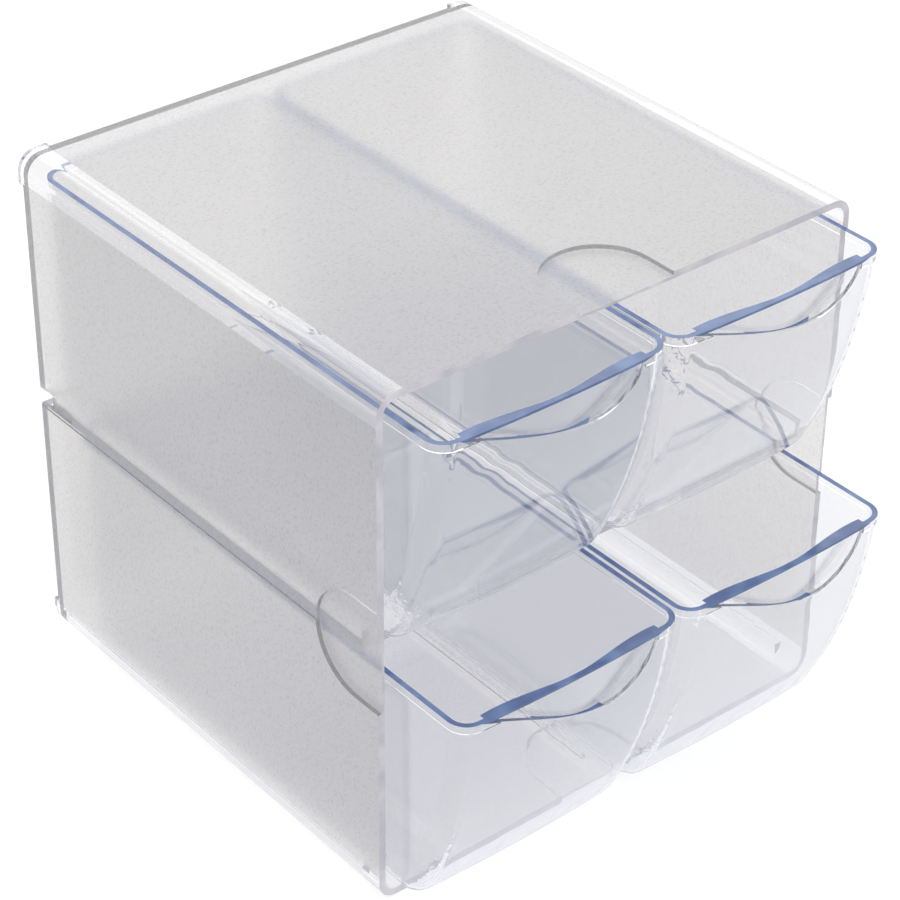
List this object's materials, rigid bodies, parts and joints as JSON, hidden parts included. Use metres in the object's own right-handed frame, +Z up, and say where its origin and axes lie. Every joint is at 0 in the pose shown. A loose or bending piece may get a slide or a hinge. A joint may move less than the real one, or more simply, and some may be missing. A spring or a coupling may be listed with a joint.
{
  "type": "craft storage drawer cube",
  "caption": "Clear desktop storage cube whose open-topped pull-out drawers with swoosh finger grips slide out to the front.",
  "frame": {"origin": "centre of the cube's bottom face, on the surface it stands on", "axes": "+Z up, -Y towards the drawers' fronts, +X to the right seen from the front"},
  "size_m": [0.1524, 0.1777, 0.1518],
  "materials": {
    "frosted_clear": "clear polystyrene with a fine frosted grain on the outside",
    "crystal_clear": "polished clear polystyrene with blue-tinted edges"
  },
  "bodies": {
    "cube": {"cube_shell": "frosted_clear"},
    "drawer_upper_left": {"drawer_upper_left": "crystal_clear"},
    "drawer_upper_right": {"drawer_upper_right": "crystal_clear"},
    "drawer_lower_left": {"drawer_lower_left": "crystal_clear"},
    "drawer_lower_right": {"drawer_lower_right": "crystal_clear"}
  },
  "joints": [
    {"name": "drawer_upper_left_slide", "type": "slide", "parent": "cube", "child": "drawer_upper_left", "axis": [0, -1, 0], "range_m": [0, 0.15]},
    {"name": "drawer_upper_right_slide", "type": "slide", "parent": "cube", "child": "drawer_upper_right", "axis": [0, -1, 0], "range_m": [0, 0.15]},
    {"name": "drawer_lower_left_slide", "type": "slide", "parent": "cube", "child": "drawer_lower_left", "axis": [0, -1, 0], "range_m": [-0.0096, 0.1404]},
    {"name": "drawer_lower_right_slide", "type": "slide", "parent": "cube", "child": "drawer_lower_right", "axis": [0, -1, 0], "range_m": [-0.0096, 0.1404]}
  ]
}
